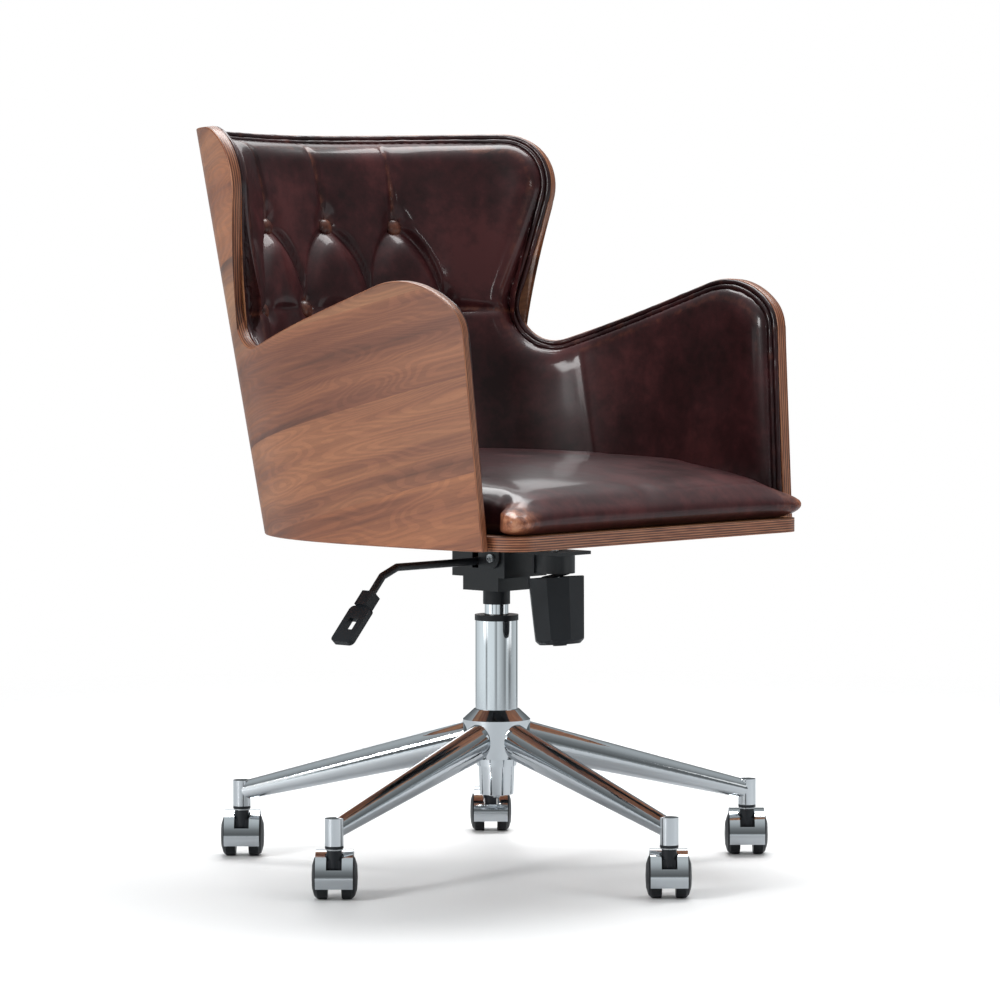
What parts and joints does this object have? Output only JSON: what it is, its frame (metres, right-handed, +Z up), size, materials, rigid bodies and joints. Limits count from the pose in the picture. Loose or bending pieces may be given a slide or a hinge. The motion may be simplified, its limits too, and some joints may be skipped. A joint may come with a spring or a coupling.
{
  "type": "swivel office chair",
  "caption": "Swivel office chair: bent plywood tub shell with winged back, tufted leather lining and seat cushion, on a tilt mechanism, gas lift and five-star caster base.",
  "frame": {"origin": "on the floor, on the axis of the column", "axes": "+Z up along the column; the chair's front faces -Y; +X is to the sitter's left"},
  "size_m": [0.6708, 0.6884, 0.872],
  "materials": {
    "chrome_plate": "polished chrome plate",
    "cylinder_chrome": "bright chrome",
    "black_plastic": "satin moulded plastic",
    "wheel_nylon": "moulded nylon, semi-gloss",
    "bright_steel": "zinc plated steel",
    "black_steel": "black powder coat",
    "walnut_ply": "satin lacquered walnut veneer on bent plywood",
    "oxblood_leather": "waxed pull-up leather over foam"
  },
  "bodies": {
    "base": {"base_hub": "chrome_plate", "base_leg_1": "chrome_plate", "base_leg_2": "chrome_plate", "base_leg_3": "chrome_plate", "base_leg_4": "chrome_plate", "base_leg_5": "chrome_plate", "caster_socket_inserts": "black_plastic", "column_tube": "chrome_plate", "guide_bush": "black_plastic", "dust_ring": "black_plastic", "thrust_bearing": "bright_steel"},
    "lift_rod": {"piston_rod": "bright_steel", "retaining_clip": "bright_steel"},
    "lift_carriage": {"gas_cylinder": "cylinder_chrome", "taper_sleeve": "black_plastic", "mechanism_housing": "black_steel", "spring_cup": "black_steel"},
    "gas_button": {"release_button": "bright_steel"},
    "lever": {"lever_rod": "black_steel", "lever_paddle": "black_plastic"},
    "seat": {"seat_plate": "black_steel", "pivot_pin": "bright_steel", "tension_bolt": "bright_steel", "tension_spring": "black_steel", "seat_bolts": "bright_steel", "board_tnuts": "bright_steel", "bentwood_shell": "walnut_ply", "seat_board": "walnut_ply", "lining_back": "oxblood_leather", "lining_left": "oxblood_leather", "lining_right": "oxblood_leather", "seat_cushion": "oxblood_leather", "tufting_buttons": "oxblood_leather"},
    "knob_washer": {"spring_washer": "bright_steel"},
    "knob": {"tension_knob": "black_plastic"},
    "caster_1": {"caster_body_1": "black_plastic", "caster_pins_1": "bright_steel", "caster_hood_1": "chrome_plate"},
    "wheel_left_1": {"caster_wheel_left_1": "wheel_nylon"},
    "wheel_right_1": {"caster_wheel_right_1": "wheel_nylon"},
    "caster_2": {"caster_body_2": "black_plastic", "caster_pins_2": "bright_steel", "caster_hood_2": "chrome_plate"},
    "wheel_left_2": {"caster_wheel_left_2": "wheel_nylon"},
    "wheel_right_2": {"caster_wheel_right_2": "wheel_nylon"},
    "caster_3": {"caster_body_3": "black_plastic", "caster_pins_3": "bright_steel", "caster_hood_3": "chrome_plate"},
    "wheel_left_3": {"caster_wheel_left_3": "wheel_nylon"},
    "wheel_right_3": {"caster_wheel_right_3": "wheel_nylon"},
    "caster_4": {"caster_body_4": "black_plastic", "caster_pins_4": "bright_steel", "caster_hood_4": "chrome_plate"},
    "wheel_left_4": {"caster_wheel_left_4": "wheel_nylon"},
    "wheel_right_4": {"caster_wheel_right_4": "wheel_nylon"},
    "caster_5": {"caster_body_5": "black_plastic", "caster_pins_5": "bright_steel", "caster_hood_5": "chrome_plate"},
    "wheel_left_5": {"caster_wheel_left_5": "wheel_nylon"},
    "wheel_right_5": {"caster_wheel_right_5": "wheel_nylon"}
  },
  "joints": [
    {"name": "seat_swivel", "type": "hinge", "parent": "base", "child": "lift_rod", "pos_m": [0, 0, 0.1], "axis": [0, 0, 1], "continuous": true},
    {"name": "seat_height", "type": "slide", "parent": "lift_rod", "child": "lift_carriage", "axis": [0, 0, 1], "range_m": [0, 0.08]},
    {"name": "seat_tilt", "type": "hinge", "parent": "lift_carriage", "child": "seat", "pos_m": [0, -0.028, 0.37], "axis": [-1, 0, 0], "range_deg": [0, 10], "stiffness_Nm_per_rad": 260, "springref_deg": -9.17, "deforming": ["tension_spring"]},
    {"name": "knob_travel", "type": "slide", "parent": "seat", "child": "knob_washer", "axis": [0, 0.0785, 0.9969], "range_m": [0, 0.00375]},
    {"name": "knob_turn", "type": "hinge", "parent": "knob_washer", "child": "knob", "pos_m": [0, -0.09706, 0.30528], "axis": [0, 0.0785, 0.9969], "range_deg": [0, 900]},
    {"name": "gas_lever", "type": "hinge", "parent": "lift_carriage", "child": "lever", "pos_m": [-0.026, 0, 0.365], "axis": [0, 1, 0], "range_deg": [0, 6]},
    {"name": "gas_button", "type": "slide", "parent": "lift_carriage", "child": "gas_button", "axis": [0, 0, -1], "range_m": [0, 0.00272]},
    {"name": "caster_swivel_1", "type": "hinge", "parent": "base", "child": "caster_1", "pos_m": [0.23135, 0.22108, 0.06], "axis": [0, 0, 1], "continuous": true},
    {"name": "wheel_left_roll_1", "type": "hinge", "parent": "caster_1", "child": "wheel_left_1", "pos_m": [0.24169, 0.23052, 0.025], "axis": [-0.6743, 0.7385, 0], "continuous": true},
    {"name": "wheel_right_roll_1", "type": "hinge", "parent": "caster_1", "child": "wheel_right_1", "pos_m": [0.24169, 0.23052, 0.025], "axis": [-0.6743, 0.7385, 0], "continuous": true},
    {"name": "caster_swivel_2", "type": "hinge", "parent": "base", "child": "caster_2", "pos_m": [-0.13877, 0.28835, 0.06], "axis": [0, 0, 1], "continuous": true},
    {"name": "wheel_left_roll_2", "type": "hinge", "parent": "caster_2", "child": "wheel_left_2", "pos_m": [-0.12843, 0.29779, 0.025], "axis": [-0.6743, 0.7385, 0], "continuous": true},
    {"name": "wheel_right_roll_2", "type": "hinge", "parent": "caster_2", "child": "wheel_right_2", "pos_m": [-0.12843, 0.29779, 0.025], "axis": [-0.6743, 0.7385, 0], "continuous": true},
    {"name": "caster_swivel_3", "type": "hinge", "parent": "base", "child": "caster_3", "pos_m": [-0.31711, -0.04288, 0.06], "axis": [0, 0, 1], "continuous": true},
    {"name": "wheel_left_roll_3", "type": "hinge", "parent": "caster_3", "child": "wheel_left_3", "pos_m": [-0.30678, -0.03343, 0.025], "axis": [-0.6743, 0.7385, 0], "continuous": true},
    {"name": "wheel_right_roll_3", "type": "hinge", "parent": "caster_3", "child": "wheel_right_3", "pos_m": [-0.30678, -0.03343, 0.025], "axis": [-0.6743, 0.7385, 0], "continuous": true},
    {"name": "caster_swivel_4", "type": "hinge", "parent": "base", "child": "caster_4", "pos_m": [-0.05722, -0.31484, 0.06], "axis": [0, 0, 1], "continuous": true},
    {"name": "wheel_left_roll_4", "type": "hinge", "parent": "caster_4", "child": "wheel_left_4", "pos_m": [-0.04688, -0.3054, 0.025], "axis": [-0.6743, 0.7385, 0], "continuous": true},
    {"name": "wheel_right_roll_4", "type": "hinge", "parent": "caster_4", "child": "wheel_right_4", "pos_m": [-0.04688, -0.3054, 0.025], "axis": [-0.6743, 0.7385, 0], "continuous": true},
    {"name": "caster_swivel_5", "type": "hinge", "parent": "base", "child": "caster_5", "pos_m": [0.28175, -0.15171, 0.06], "axis": [0, 0, 1], "continuous": true},
    {"name": "wheel_left_roll_5", "type": "hinge", "parent": "caster_5", "child": "wheel_left_5", "pos_m": [0.29209, -0.14227, 0.025], "axis": [-0.6743, 0.7385, 0], "continuous": true},
    {"name": "wheel_right_roll_5", "type": "hinge", "parent": "caster_5", "child": "wheel_right_5", "pos_m": [0.29209, -0.14227, 0.025], "axis": [-0.6743, 0.7385, 0], "continuous": true}
  ],
  "couplings": [
    {"joint": "knob_turn", "follows": "knob_travel", "rad_per_m": 4188.8},
    {"joint": "gas_button", "follows": "gas_lever", "m_per_rad": 0.026}
  ]
}
